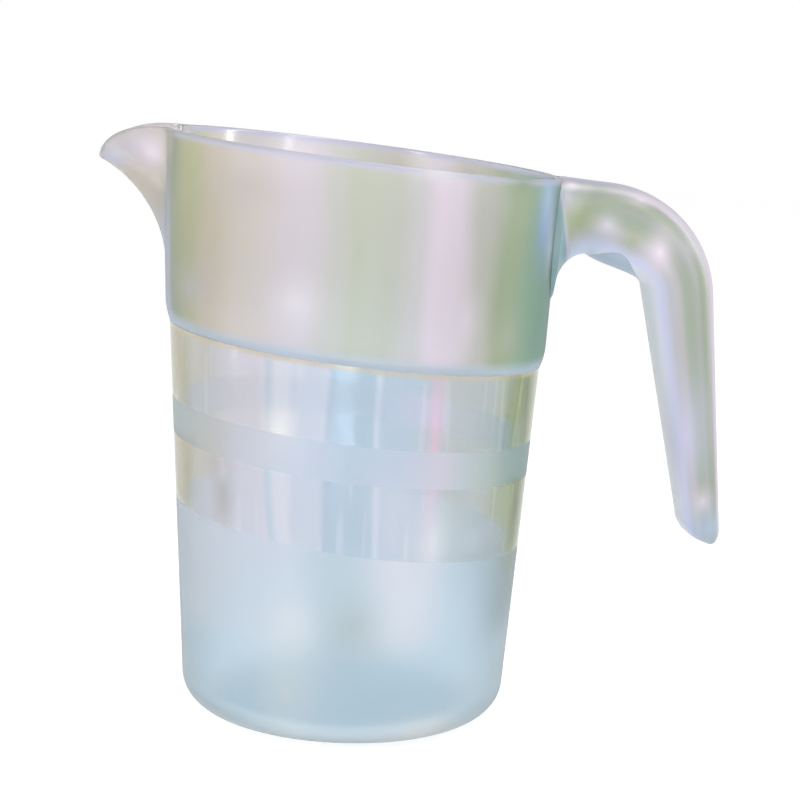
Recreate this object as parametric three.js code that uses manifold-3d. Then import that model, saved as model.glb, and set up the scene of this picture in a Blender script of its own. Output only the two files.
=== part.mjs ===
import * as THREE from "three";
import { mergeVertices } from "three/addons/utils/BufferGeometryUtils.js";
import Module from "manifold-3d";

// Stackable serving pitcher in see-through plastic: a tapered vessel, a wider collar with
// the spout, and an open-ended handle made of a hollow shell and a cover strip.
// Millimetres and degrees. The origin is the centre of the resting face, +Z is up,
// +X points to the handle and -X to the spout.

// Vessel
const BASE_RADIUS = 51; // of the outer cone, where it would meet the resting face
const VESSEL_TAPER = 3.55; // outward lean of the wall
const BASE_CORNER_RADIUS = 10;
const VESSEL_WALL = 2.4;
const FLOOR_THICKNESS = 3;
const SHOULDER_HEIGHT = 118; // on the axis; the collar seats here
const TONGUE_LENGTH = 4; // how far the vessel reaches up inside the collar

// Collar
const RIM_HEIGHT = 177; // on the axis
const RIM_RADIUS = 62; // outside, on the axis height
const COLLAR_TAPER = 2.35;
const COLLAR_WALL = 2;
const RIM_SLANT = 4.9; // rim and shoulder rise towards the spout
const SKIRT_HEIGHT = 6.5; // the collar's lower edge curls in over this height
const SKIRT_PROUD = 0.15; // what is left of the step at the curled edge

// Spout
const SPOUT_REACH = 19.6; // beyond the rim, to the lip's round edge
const SPOUT_HALF_WIDTH = 17; // where its cheeks leave the rim
const SPOUT_ROOT_BLEND = 1.6; // softens the crease between cheek and collar
const SPOUT_ARC_RADIUS = 33; // of the underside, seen from the side
const LIP_DROP = 14.5; // vertical half axis of the ellipse that the lip falls along
const LIP_MARGIN = 0.4; // that ellipse's reach beyond the spout's own

// Handle
const HANDLE_REACH = 118.6; // of the grip's back at the foot, from the axis
const HANDLE_FOOT = 57; // height of the lowest point
const HANDLE_TOP_RISE = 0.2; // of the arm's crown above the rim plane
const BACK_RADIUS = 36.5; // of the bend, outside
const BACK_LEAN = 5.6; // of the grip's back, from the vertical
const GRIP_LEAN = 12.4; // of the grip's inner face, from the vertical
const GRIP_THICKNESS = 13.4; // front to back at the foot
const ARCH_REACH = 10; // concave sweep from the collar to the arm's underside
const ARCH_DROP = 14.5;
const ARM_THICKNESS = 23; // top to underside at the end of the arch
const BELLY_RUN = 6.6; // the underside leaves the arch in this run and dip
const BELLY_DIP = 4.3;
const BELLY_DROP = 9; // from the arch's crown to the start of the grip
const BELLY_CORNER = 4; // size of the round turn into the grip
const ARM_HALF_WIDTH = 11.5;
const FOOT_HALF_WIDTH = 8.5;
const ROOT_FLARE = 3.5; // extra half width of the saddle on the collar
const ROOT_FLARE_RUN = 5; // and the length that it fades over
const FOOT_LEAN = 3.6; // how far the foot's end leans to the back
const FOOT_SKEW = 5; // the foot starts this much higher at the inner face than at the back
const FOOT_LENGTH = 7; // height of the rounded end
const SHELL_WALL = 2.6;
const SHELL_LIP = 2.2; // side wall beside the cover
const COVER_THICKNESS = 3;
const COVER_LEDGE = 1.2; // ledge that the cover seats on
const COVER_OVERCUT = 2; // the seat's cut starts this far outside the inner face
const COVER_START = 0.8; // from the arch's crown to the cover's seat
const END_WALL = 5; // length along the inner face that is solid at each end of the hollow

// Gap that bonded pieces keep
const BOND_GAP = 0.3;

// Facets
const ROUND_STEP = 7.2; // degrees between columns
const SPOUT_STEP = 2.6; // degrees between columns across the spout
const CORNER_STEPS = 5;
const COLLAR_ROWS = 10;
const RIM_STEPS = 4;
const SECTION_STEPS = 22;
const SECTION_POWER = 2.6; // of the handle section's superellipse
const SQUARE_POWER = 8; // of the cover's squarer section
const ROOT_STEPS = 6;
const BEND_STEPS = 10;
const GRIP_STEPS = 5;
const FOOT_STEPS = 5;
const PROBE_TURN = 0.2; // degrees, and share of the collar's height, to read its slope
const PROBE_SHARE = 0.004;

const radians = THREE.MathUtils.degToRad;
const slant = Math.tan(radians(RIM_SLANT));
const vesselSlope = Math.tan(radians(VESSEL_TAPER));
const collarSlope = Math.tan(radians(COLLAR_TAPER));

const wasm = await Module();
wasm.setup();

function solidOf(geometry) {
  const merged = mergeVertices(geometry);
  return new wasm.Manifold(
    new wasm.Mesh({
      numProp: 3,
      vertProperties: merged.getAttribute("position").array,
      triVerts: new Uint32Array(merged.index.array),
    }),
  );
}

function geometryOf(solid) {
  const mesh = solid.getMesh();
  const geometry = new THREE.BufferGeometry();
  geometry.setAttribute("position", new THREE.BufferAttribute(mesh.vertProperties, 3));
  geometry.setIndex(new THREE.BufferAttribute(mesh.triVerts, 1));
  geometry.computeVertexNormals();
  return geometry;
}

// Skin over rings of equal count. A ring of one point is a pole, and a looped skin
// joins its last ring to its first.
function loft(rings, looped = false) {
  const positions = [];
  const starts = rings.map((ring) => {
    const start = positions.length / 3;
    ring.forEach((point) => positions.push(point.x, point.y, point.z));
    return start;
  });
  const indices = [];
  const spans = looped ? rings.length : rings.length - 1;
  for (let i = 0; i < spans; i += 1) {
    const next = (i + 1) % rings.length;
    const count = Math.max(rings[i].length, rings[next].length);
    for (let j = 0; j < count; j += 1) {
      const k = (j + 1) % count;
      const [low, high] = [starts[i], starts[next]];
      if (rings[i].length === 1) indices.push(low, high + k, high + j);
      else if (rings[next].length === 1) indices.push(low + j, low + k, high);
      else indices.push(low + j, low + k, high + k, low + j, high + k, high + j);
    }
  }
  const geometry = new THREE.BufferGeometry();
  geometry.setAttribute("position", new THREE.Float32BufferAttribute(positions, 3));
  geometry.setIndex(indices);
  geometry.computeVertexNormals();
  return geometry;
}

// Angles of the columns round the axis, closer together across the spout. Each side has a
// column square to the spout, so that the faceted rings keep their full width.
function columnAngles() {
  const spoutHalf = THREE.MathUtils.radToDeg(Math.asin(SPOUT_HALF_WIDTH / RIM_RADIUS));
  const spoutEdge = (Math.ceil(spoutHalf / SPOUT_STEP) + 1) * SPOUT_STEP;
  const stretches = [
    [-spoutEdge, spoutEdge, SPOUT_STEP],
    [spoutEdge, 90, ROUND_STEP],
    [90, 270, ROUND_STEP],
    [270, 360 - spoutEdge, ROUND_STEP],
  ];
  const angles = [];
  stretches.forEach(([start, end, step]) => {
    const count = Math.round((end - start) / step);
    for (let i = 0; i < count; i += 1) angles.push(180 + start + ((end - start) * i) / count);
  });
  return angles.map(radians);
}
const columns = columnAngles();

function polar(radius, angle, z) {
  return new THREE.Vector3(radius * Math.cos(angle), radius * Math.sin(angle), z);
}

function level(radius, z) {
  return columns.map((angle) => polar(radius, angle, z));
}

// Point where a cone of the given radius at z = 0 and slope meets a plane slanted like
// the rim that crosses the axis at the given height.
function slantPoint(radiusAtZero, slope, height, angle) {
  const radius = (radiusAtZero + slope * height) / (1 + slope * slant * Math.cos(angle));
  return polar(radius, angle, height - slant * radius * Math.cos(angle));
}

function slantRing(radiusAtZero, slope, height) {
  return columns.map((angle) => slantPoint(radiusAtZero, slope, height, angle));
}

// Rings of a rounded corner between a floor and a leaning wall, floor to wall.
function cornerRings(wallRadiusAtZero, floorHeight, cornerRadius) {
  const lean = radians(VESSEL_TAPER);
  const centreHeight = floorHeight + cornerRadius;
  const wallRadius = wallRadiusAtZero + vesselSlope * centreHeight;
  const centreRadius = wallRadius - cornerRadius / Math.cos(lean);
  const rings = [];
  for (let i = 0; i <= CORNER_STEPS; i += 1) {
    const angle = -Math.PI / 2 + ((Math.PI / 2 - lean) * i) / CORNER_STEPS;
    const radius = centreRadius + cornerRadius * Math.cos(angle);
    rings.push(level(radius, centreHeight + cornerRadius * Math.sin(angle)));
  }
  return rings;
}

const collarRadiusAtZero = RIM_RADIUS - collarSlope * RIM_HEIGHT;
const collarBoreAtZero = collarRadiusAtZero - COLLAR_WALL / Math.cos(radians(COLLAR_TAPER));

// Tapered beaker with a thin tongue above its shoulder, which the collar slips over.
function vesselGeometry() {
  const boreAtZero = BASE_RADIUS - VESSEL_WALL / Math.cos(radians(VESSEL_TAPER));
  const tongueAtZero = collarBoreAtZero - BOND_GAP;
  const tongueTop = SHOULDER_HEIGHT + TONGUE_LENGTH;
  const innerCorner = BASE_CORNER_RADIUS - VESSEL_WALL;
  return loft([
    [new THREE.Vector3(0, 0, 0)],
    ...cornerRings(BASE_RADIUS, 0, BASE_CORNER_RADIUS),
    slantRing(BASE_RADIUS, vesselSlope, SHOULDER_HEIGHT),
    slantRing(tongueAtZero, collarSlope, SHOULDER_HEIGHT),
    slantRing(tongueAtZero, collarSlope, tongueTop),
    slantRing(boreAtZero, vesselSlope, tongueTop),
    ...cornerRings(boreAtZero, FLOOR_THICKNESS, innerCorner).reverse(),
    [new THREE.Vector3(0, 0, FLOOR_THICKNESS)],
  ]);
}

// Spout's reach beyond the rim in the direction of a column, in plan.
function spoutReach(angle) {
  if (Math.cos(angle) >= 0) return 0;
  const side = (RIM_RADIUS * Math.sin(angle)) / SPOUT_HALF_WIDTH;
  const reach = SPOUT_REACH * (1 - side * side);
  const soft = (reach + Math.hypot(reach, SPOUT_ROOT_BLEND)) / 2;
  const far = (-SPOUT_REACH + Math.hypot(SPOUT_REACH, SPOUT_ROOT_BLEND)) / 2;
  return Math.max(0, soft - far);
}

// Outer face of the collar and spout; share runs from the skirt's edge, 0, to the lip, 1.
function collarPoint(angle, share) {
  const bottom = SHOULDER_HEIGHT + BOND_GAP;
  const reach = Math.min(spoutReach(angle), SPOUT_REACH);
  const fall = LIP_DROP * (1 - Math.sqrt(1 - (reach / (SPOUT_REACH + LIP_MARGIN)) ** 2));
  const lip = RIM_HEIGHT - COLLAR_WALL / 2 - fall;
  const arcHeight = Math.sqrt(reach * (2 * SPOUT_ARC_RADIUS - reach));
  const height = bottom + (lip - bottom) * share;
  const climb = Math.max(0, height - (lip - arcHeight));
  const flare = SPOUT_ARC_RADIUS - Math.sqrt(SPOUT_ARC_RADIUS ** 2 - climb ** 2);
  const point = slantPoint(collarRadiusAtZero, collarSlope, height, angle);
  const out = polar(flare, angle, 0);
  return point.add(out).setZ(point.z - slant * out.x);
}

// Outward direction and the direction towards the lip on the collar's face.
function collarFrame(angle, share) {
  const turn = radians(PROBE_TURN);
  const across = collarPoint(angle + turn, share).sub(collarPoint(angle - turn, share));
  const low = collarPoint(angle, Math.max(0, share - PROBE_SHARE));
  const high = collarPoint(angle, Math.min(1, share + PROBE_SHARE));
  const up = high.sub(low).normalize();
  return { out: across.cross(up).normalize(), up };
}

// Sleeve with the spout drawn out of it, a rounded rim and a lower edge that curls in to
// the vessel's shoulder.
function collarGeometry() {
  const step = collarRadiusAtZero - BASE_RADIUS + (collarSlope - vesselSlope) * SHOULDER_HEIGHT;
  const curl = step - SKIRT_PROUD;
  const skirtShare = SKIRT_HEIGHT / (RIM_HEIGHT - SHOULDER_HEIGHT);
  const shares = [0, skirtShare / 2];
  for (let i = 0; i < COLLAR_ROWS; i += 1) {
    shares.push(skirtShare + ((1 - skirtShare) * i) / (COLLAR_ROWS - 1));
  }
  const outer = shares.map((share) => {
    const inset = curl * Math.max(0, 1 - share / skirtShare) ** 2;
    return columns.map((angle) => {
      const { out } = collarFrame(angle, share);
      return collarPoint(angle, share).addScaledVector(out, -inset);
    });
  });
  const inner = shares.map((share) =>
    columns.map((angle) => {
      const { out } = collarFrame(angle, share);
      return collarPoint(angle, share).addScaledVector(out, -COLLAR_WALL);
    }),
  );
  const rim = [];
  for (let i = 1; i < RIM_STEPS; i += 1) {
    const turn = (Math.PI * i) / RIM_STEPS;
    rim.push(
      columns.map((angle) => {
        const { out, up } = collarFrame(angle, 1);
        return collarPoint(angle, 1)
          .addScaledVector(out, (COLLAR_WALL / 2) * (Math.cos(turn) - 1))
          .addScaledVector(up, (COLLAR_WALL / 2) * Math.sin(turn));
      }),
    );
  }
  return loft([...outer, ...rim, ...inner.reverse()], true);
}

// Solid cone that follows the collar's outside, to cut the handle's saddle.
function collarCore() {
  const radiusAtZero = collarRadiusAtZero + BOND_GAP;
  const [low, high] = [SHOULDER_HEIGHT, RIM_HEIGHT + RIM_RADIUS];
  return loft([
    [new THREE.Vector3(0, 0, low)],
    level(radiusAtZero + collarSlope * low, low),
    level(radiusAtZero + collarSlope * high, high),
    [new THREE.Vector3(0, 0, high)],
  ]);
}

// The handle's side view is two rails in the XZ plane, back and inner face, in three
// stretches: root, bend and grip. The second coordinate of a rail is the height.
function handleRails() {
  const topHeight = (x) => RIM_HEIGHT + HANDLE_TOP_RISE - slant * x;
  const backLean = Math.tan(radians(BACK_LEAN));
  const footTop = HANDLE_FOOT + FOOT_LENGTH;

  // The bend's arc touches the top line and the back line.
  const cornerHeight =
    (topHeight(HANDLE_REACH) - slant * backLean * footTop) / (1 - slant * backLean);
  const corner = new THREE.Vector2(HANDLE_REACH - backLean * (cornerHeight - footTop), cornerHeight);
  const turn = Math.PI / 2 - radians(BACK_LEAN) - radians(RIM_SLANT);
  const along = new THREE.Vector2(1, -slant).normalize();
  const inward = new THREE.Vector2(-slant, -1).normalize();
  const bendStart = corner.clone().addScaledVector(along, -BACK_RADIUS * Math.tan(turn / 2));
  const centre = bendStart.clone().addScaledVector(inward, BACK_RADIUS);
  const startAngle = Math.PI / 2 - radians(RIM_SLANT);
  const bendArc = new THREE.EllipseCurve(
    centre.x, centre.y, BACK_RADIUS, BACK_RADIUS, startAngle, startAngle - turn, true,
  );

  // The arch leaves the collar's wall and ends at the crown of the arm's underside.
  const archFoot = RIM_HEIGHT - ARM_THICKNESS - ARCH_DROP - slant * RIM_RADIUS;
  const wallX = collarRadiusAtZero + collarSlope * archFoot;
  const crown = new THREE.Vector2(wallX + ARCH_REACH, topHeight(wallX + ARCH_REACH) - ARM_THICKNESS);
  const arch = new THREE.EllipseCurve(
    crown.x, crown.y - ARCH_DROP, ARCH_REACH, ARCH_DROP, Math.PI, Math.PI / 2, true,
  );
  const up = new THREE.Vector2(-Math.tan(radians(GRIP_LEAN)), 1);
  const innerFoot = new THREE.Vector2(HANDLE_REACH - GRIP_THICKNESS, footTop);
  const gripTop = innerFoot.clone().addScaledVector(up, crown.y - BELLY_DROP - footTop);
  const leave = crown.clone().add(new THREE.Vector2(BELLY_RUN, -BELLY_DIP));
  const arrive = gripTop.clone().addScaledVector(up, BELLY_CORNER);
  innerFoot.addScaledVector(up, FOOT_SKEW / 2);
  const backFoot = new THREE.Vector2(HANDLE_REACH, footTop);
  backFoot.addScaledVector(new THREE.Vector2(-backLean, 1), -FOOT_SKEW / 2);
  const rootX = wallX - ROOT_FLARE;
  return {
    root: {
      back: new THREE.LineCurve(new THREE.Vector2(rootX, topHeight(rootX)), bendStart),
      inner: arch,
    },
    bend: { back: bendArc, inner: new THREE.CubicBezierCurve(crown, leave, arrive, gripTop) },
    grip: {
      back: new THREE.LineCurve(bendArc.getPoint(1), backFoot),
      inner: new THREE.LineCurve(gripTop, innerFoot),
    },
  };
}
const rails = handleRails();

// Section of the handle at a share of a stretch: its inner point, the direction to the
// back, its thickness and its half width.
function handleSection(stretch, share) {
  const inner = rails[stretch].inner.getPointAt(share);
  const back = rails[stretch].back.getPointAt(share);
  const reach = back.clone().sub(inner);
  let halfWidth = ARM_HALF_WIDTH;
  if (stretch === "root") {
    const run = inner.x - rails.root.inner.getPointAt(0).x;
    const near = Math.max(0, 1 - run / ROOT_FLARE_RUN);
    halfWidth += ROOT_FLARE * (1 - Math.sqrt(1 - near * near));
  }
  if (stretch === "grip") halfWidth += (FOOT_HALF_WIDTH - ARM_HALF_WIDTH) * share;
  return {
    inner: new THREE.Vector3(inner.x, 0, inner.y),
    direction: new THREE.Vector3(reach.x, 0, reach.y).normalize(),
    thickness: reach.length(),
    halfWidth,
  };
}

// Closed outline in a section: from depth low to high off the inner face, across the
// given half width, as a superellipse.
function sectionRing(section, low, high, halfWidth, power = SECTION_POWER) {
  const ring = [];
  const rounded = (value) => Math.sign(value) * Math.abs(value) ** (2 / power);
  for (let i = 0; i < SECTION_STEPS; i += 1) {
    const turn = (2 * Math.PI * (i + 0.5)) / SECTION_STEPS;
    const depth = (low + high) / 2 + ((high - low) / 2) * rounded(Math.cos(turn));
    const point = section.inner.clone().addScaledVector(section.direction, depth);
    ring.push(point.setY(-halfWidth * rounded(Math.sin(turn))));
  }
  return ring;
}

function centreOf(ring) {
  const centre = new THREE.Vector3();
  ring.forEach((point) => centre.add(point));
  return [centre.divideScalar(ring.length)];
}

// Whole handle as one solid, cut to the collar.
function handleBlank() {
  const rings = [];
  const add = (stretch, share) => {
    const section = handleSection(stretch, share);
    rings.push(sectionRing(section, 0, section.thickness, section.halfWidth));
  };
  const first = handleSection("root", 0);
  const rootRing = sectionRing(first, 0, first.thickness, first.halfWidth);
  rings.push(rootRing.map((point) => point.clone().setX(point.x - ROOT_FLARE_RUN)));
  for (let i = 0; i < ROOT_STEPS; i += 1) add("root", i / ROOT_STEPS);
  for (let i = 0; i < BEND_STEPS; i += 1) add("bend", i / BEND_STEPS);
  for (let i = 0; i <= GRIP_STEPS; i += 1) add("grip", i / GRIP_STEPS);

  // The foot's end rounds off and leans to the back.
  const last = rings.at(-1);
  const [middle] = centreOf(last);
  for (let i = 1; i <= FOOT_STEPS; i += 1) {
    const turn = (Math.PI / 2) * (i / (FOOT_STEPS + 1));
    const size = Math.cos(turn);
    const end = middle.clone();
    end.x += FOOT_LEAN * (1 - size);
    end.z -= FOOT_LENGTH * Math.sin(turn);
    rings.push(last.map((point) => point.clone().sub(middle).multiplyScalar(size).add(end)));
  }
  const tip = [new THREE.Vector3(middle.x + FOOT_LEAN, 0, middle.z - FOOT_LENGTH)];
  const whole = solidOf(loft([centreOf(rings[0]), ...rings, tip]));
  return whole.subtract(solidOf(collarCore()));
}

// Sections of part of a stretch, evenly spaced; the last is left to the stretch that follows.
function stretchSections(stretch, start, end, steps) {
  const sections = [];
  for (let i = 0; i < steps; i += 1) {
    sections.push(handleSection(stretch, start + ((end - start) * i) / steps));
  }
  return sections;
}

// Sections along the cover's seat, from the crown to the foot; trim shortens each end.
function coverSections(trim) {
  const start = (COVER_START + trim) / rails.bend.inner.getLength();
  const end = 1 - (END_WALL + trim) / rails.grip.inner.getLength();
  return [
    ...stretchSections("bend", start, 1, BEND_STEPS),
    ...stretchSections("grip", 0, end, GRIP_STEPS),
    handleSection("grip", end),
  ];
}

// Solid that fills part of the handle: outline gives depth range and half width in a section.
function filling(sections, outline, power) {
  const rings = sections.map((section) => sectionRing(section, ...outline(section), power));
  return solidOf(loft([centreOf(rings[0]), ...rings, centreOf(rings.at(-1))]));
}

const blank = handleBlank();

// Hollow back and sides of the handle, open along the inner face, with a ledge for the cover.
function handleShellGeometry() {
  const mouth = filling(
    coverSections(0),
    (section) => [-COVER_OVERCUT, COVER_THICKNESS, section.halfWidth - SHELL_LIP],
    SQUARE_POWER,
  );
  const hollowStart = END_WALL / rails.root.inner.getLength();
  const hollow = filling(
    [...stretchSections("root", hollowStart, 1, ROOT_STEPS), ...coverSections(COVER_LEDGE)],
    (section) => [
      COVER_THICKNESS / 2,
      section.thickness - SHELL_WALL,
      section.halfWidth - SHELL_LIP - COVER_LEDGE,
    ],
    SECTION_POWER,
  );
  return geometryOf(blank.subtract(mouth).subtract(hollow));
}

// Strip that closes the handle's hollow, flush with the inner face.
function handleCoverGeometry() {
  const strip = filling(
    coverSections(BOND_GAP),
    (section) => [
      -COVER_OVERCUT,
      COVER_THICKNESS - BOND_GAP,
      section.halfWidth - SHELL_LIP - BOND_GAP,
    ],
    SQUARE_POWER,
  );
  return geometryOf(blank.intersect(strip));
}

const clearPlastic = new THREE.MeshStandardMaterial({
  color: 0xdfe6e8, roughness: 0.08, metalness: 0, transparent: true, opacity: 0.4,
});
const frostedPlastic = new THREE.MeshStandardMaterial({
  color: 0xd2d1c8, roughness: 0.45, metalness: 0, transparent: true, opacity: 0.75,
});

function piece(name, geometry, material) {
  const mesh = new THREE.Mesh(geometry, material.clone());
  mesh.name = name;
  return mesh;
}

const pitcher = new THREE.Group();
pitcher.add(
  piece("vessel", vesselGeometry(), clearPlastic),
  piece("collar", collarGeometry(), frostedPlastic),
  piece("handle_shell", handleShellGeometry(), frostedPlastic),
  piece("handle_cover", handleCoverGeometry(), frostedPlastic),
);

export default pitcher;
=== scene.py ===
from math import atan, atan2, cos, hypot, pi, radians, sin, sqrt, tan

import bpy
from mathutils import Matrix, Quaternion, Vector


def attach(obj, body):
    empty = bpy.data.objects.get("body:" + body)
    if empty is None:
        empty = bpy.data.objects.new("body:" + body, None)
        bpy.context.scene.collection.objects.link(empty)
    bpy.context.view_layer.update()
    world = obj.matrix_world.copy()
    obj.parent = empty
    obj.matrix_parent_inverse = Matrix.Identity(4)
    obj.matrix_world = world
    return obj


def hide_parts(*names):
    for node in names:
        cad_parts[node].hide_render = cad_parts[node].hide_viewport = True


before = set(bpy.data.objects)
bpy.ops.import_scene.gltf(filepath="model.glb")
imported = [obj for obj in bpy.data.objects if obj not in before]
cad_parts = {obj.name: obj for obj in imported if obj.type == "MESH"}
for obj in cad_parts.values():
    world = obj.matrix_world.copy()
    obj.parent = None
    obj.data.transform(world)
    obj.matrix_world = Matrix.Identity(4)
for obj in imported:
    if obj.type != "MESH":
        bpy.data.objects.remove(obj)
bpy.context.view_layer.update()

# Vessel
# The tapered beaker with its flat floor and rounded base corner, injection moulded in clear
# polycarbonate. Its lower body and one ring are blasted in the mould and its two windows are
# polished. A thin tongue above its shoulder is bonded inside the collar.
MM = 0.001  # lengths are in metres
BASE_RADIUS = 51 * MM  # of the outer cone, where it would meet the table
VESSEL_LEAN = radians(3.55)
VESSEL_WALL = 2.4 * MM
BASE_CORNER = 10 * MM
FLOOR_THICKNESS = 3 * MM
SHOULDER = 118 * MM  # heights of slanted edges are those on the axis
TONGUE_LENGTH = 1.2 * MM
RING_TOP = 94.7 * MM
RING_FOOT = 83.4 * MM
WINDOW_FOOT = 61.5 * MM
SLANT = tan(radians(4.9))  # shoulder, ring and rim rise towards the spout, at -X
WINDOW_SLANT = tan(radians(6.2))
RIM_HEIGHT = 177 * MM
RIM_RADIUS = 62 * MM
COLLAR_LEAN = radians(2.35)
COLLAR_WALL = 2 * MM
BOND_GAP = 0.3 * MM
BOND_CHAMFER = 0.2 * MM  # of the shoulder and of the tongue's top, up to the inside
VESSEL_COLUMNS = 256
CORNER_ROWS = 12
MERGE_REACH = 0.001 * MM  # points nearer than this become one
SMOOTH_ANGLE = radians(30)  # flatter edges are shaded smooth
vessel_slope = tan(VESSEL_LEAN)
# the radii and bores of the cones are those at height 0
vessel_bore = BASE_RADIUS - VESSEL_WALL / cos(VESSEL_LEAN)
collar_slope = tan(COLLAR_LEAN)
collar_radius = RIM_RADIUS - collar_slope * RIM_HEIGHT
collar_bore = collar_radius - COLLAR_WALL / cos(COLLAR_LEAN)
tongue_radius = collar_bore - BOND_GAP


def edit(piece, kind="VERT"):
    """Opens a piece alone in edit mode with all of it selected."""
    bpy.ops.object.select_all(action="DESELECT")
    piece.select_set(True)
    bpy.context.view_layer.objects.active = piece
    bpy.ops.object.mode_set(mode="EDIT")
    bpy.ops.mesh.select_mode(type=kind)
    bpy.ops.mesh.select_all(action="SELECT")


def done():
    bpy.ops.object.mode_set(mode="OBJECT")


def pick_edges(piece, test):
    """Selects in edit mode the edges of a piece whose two ends pass the test."""
    edit(piece, "EDGE")
    bpy.ops.mesh.select_all(action="DESELECT")
    done()
    points = piece.data.vertices
    for edge in piece.data.edges:
        start, end = (points[i].co for i in edge.vertices)
        edge.select = test(start, end)
    bpy.ops.object.mode_set(mode="EDIT")


def cup(name, wall_radius, floor, corner, top):
    """Skin of a round floor, a rounded corner and a leaning wall, open at the top."""
    centre_height = floor + corner
    centre_radius = wall_radius + vessel_slope * centre_height - corner / cos(VESSEL_LEAN)
    bpy.ops.object.select_all(action="DESELECT")
    bpy.ops.mesh.primitive_circle_add(
        vertices=VESSEL_COLUMNS, radius=centre_radius, fill_type="NGON", location=(0, 0, floor)
    )
    piece = bpy.context.object
    piece.name = name
    bpy.ops.object.transform_apply(location=True)
    rings = []
    for i in range(1, CORNER_ROWS + 1):
        turn = (pi / 2 - VESSEL_LEAN) * i / CORNER_ROWS
        rings.append((centre_radius + corner * sin(turn), centre_height - corner * cos(turn)))
    rings.append((wall_radius + vessel_slope * top, top))
    edit(piece, "EDGE")
    radius, height = centre_radius, floor
    for next_radius, next_height in rings:
        rise = (0, 0, next_height - height)
        bpy.ops.mesh.extrude_edges_move(TRANSFORM_OT_translate={"value": rise})
        growth = next_radius / radius
        bpy.ops.transform.resize(value=(growth, growth, 1), center_override=(0, 0, next_height))
        radius, height = next_radius, next_height
    done()
    return piece


def slice_piece(piece, height, slant, clear_outer=False, clear_inner=False):
    """Cuts a piece along a plane that falls towards +X and may clear what is above or below."""
    edit(piece)
    bpy.ops.mesh.bisect(
        plane_co=(0, 0, height),
        plane_no=(slant, 0, 1),
        clear_outer=clear_outer,
        clear_inner=clear_inner,
    )
    done()


def join_pieces(whole, *others):
    bpy.ops.object.select_all(action="DESELECT")
    for piece in (whole, *others):
        piece.select_set(True)
    bpy.context.view_layer.objects.active = whole
    bpy.ops.object.join()


tongue_top = SHOULDER + TONGUE_LENGTH
cut_room = SLANT * RIM_RADIUS  # that the slanted cuts need above and below their height
vessel = cup("vessel_body", BASE_RADIUS, 0, BASE_CORNER, SHOULDER + 2 * cut_room)
slice_piece(vessel, SHOULDER, SLANT, clear_outer=True)
slice_piece(vessel, RING_TOP, SLANT)
slice_piece(vessel, RING_FOOT, SLANT)
slice_piece(vessel, WINDOW_FOOT, WINDOW_SLANT)

bore = cup(
    "bore", vessel_bore, FLOOR_THICKNESS, BASE_CORNER - VESSEL_WALL, tongue_top + 2 * cut_room
)
slice_piece(bore, tongue_top + BOND_CHAMFER, SLANT, clear_outer=True)

tongue_low = SHOULDER - 2 * cut_room
tongue_high = tongue_top + 2 * cut_room
bpy.ops.object.select_all(action="DESELECT")
bpy.ops.mesh.primitive_cone_add(
    vertices=VESSEL_COLUMNS,
    radius1=tongue_radius + collar_slope * tongue_low,
    radius2=tongue_radius + collar_slope * tongue_high,
    depth=tongue_high - tongue_low,
    end_fill_type="NOTHING",
    location=(0, 0, (tongue_low + tongue_high) / 2),
)
tongue = bpy.context.object
bpy.ops.object.transform_apply(location=True)
slice_piece(tongue, SHOULDER + BOND_CHAMFER, SLANT, clear_inner=True)
slice_piece(tongue, tongue_top, SLANT, clear_outer=True)
join_pieces(vessel, bore, tongue)

chamfer_room = BOND_CHAMFER / 2
for height in (SHOULDER, tongue_top):
    low = height - chamfer_room
    high = height + BOND_CHAMFER + chamfer_room
    pick_edges(vessel, lambda a, b: all(low < p.z + SLANT * p.x < high for p in (a, b)))
    bpy.ops.mesh.bridge_edge_loops()
    done()
edit(vessel)
bpy.ops.mesh.remove_doubles(threshold=MERGE_REACH)
bpy.ops.mesh.normals_make_consistent(inside=False)
done()
bpy.ops.object.shade_smooth_by_angle(angle=SMOOTH_ANGLE)


def linear(colour):
    """Linear RGBA of an sRGB hex colour."""
    channels = [int(colour[i : i + 2], 16) / 255 for i in (1, 3, 5)]
    return *(c / 12.92 if c <= 0.04045 else ((c + 0.055) / 1.055) ** 2.4 for c in channels), 1


def new_material(name):
    material = bpy.data.materials.new(name)
    material.use_nodes = True
    material.node_tree.nodes.clear()
    return material


def add_node(owner, kind, inputs=(), stops=(), **settings):
    """Adds a node with its settings to a material or a world; inputs are values or the sockets
    that feed them, and stops are the places and colours of a ramp."""
    tree = owner.node_tree
    node = tree.nodes.new(kind)
    for name, value in settings.items():
        setattr(node, name, value)
    for socket, value in dict(inputs).items():
        if isinstance(value, bpy.types.NodeSocket):
            tree.links.new(value, node.inputs[socket])
        else:
            node.inputs[socket].default_value = value
    for i, (place, colour) in enumerate(stops):
        points = node.color_ramp.elements
        point = points[i] if i < len(points) else points.new(place)
        point.position = place
        point.color = linear(colour)
    return node


PLASTIC_IOR = 1.585  # of polycarbonate
FLOW_WIDTH = 24 * MM  # of the slow waver in the bands of colour
FLOW_LENGTH = 70 * MM
FLOW_SWAY = 16 * MM  # full swing of that waver, to the sides
GRIT = 0.5 * MM  # the tool's grit is finer, and is drawn this coarse so that it shows
GRIT_DEPTH = 0.05 * MM
GRIT_STRENGTH = 0.12  # of its bump
GRIT_SPREAD = 0.06  # by which it raises and lowers the roughness


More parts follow.
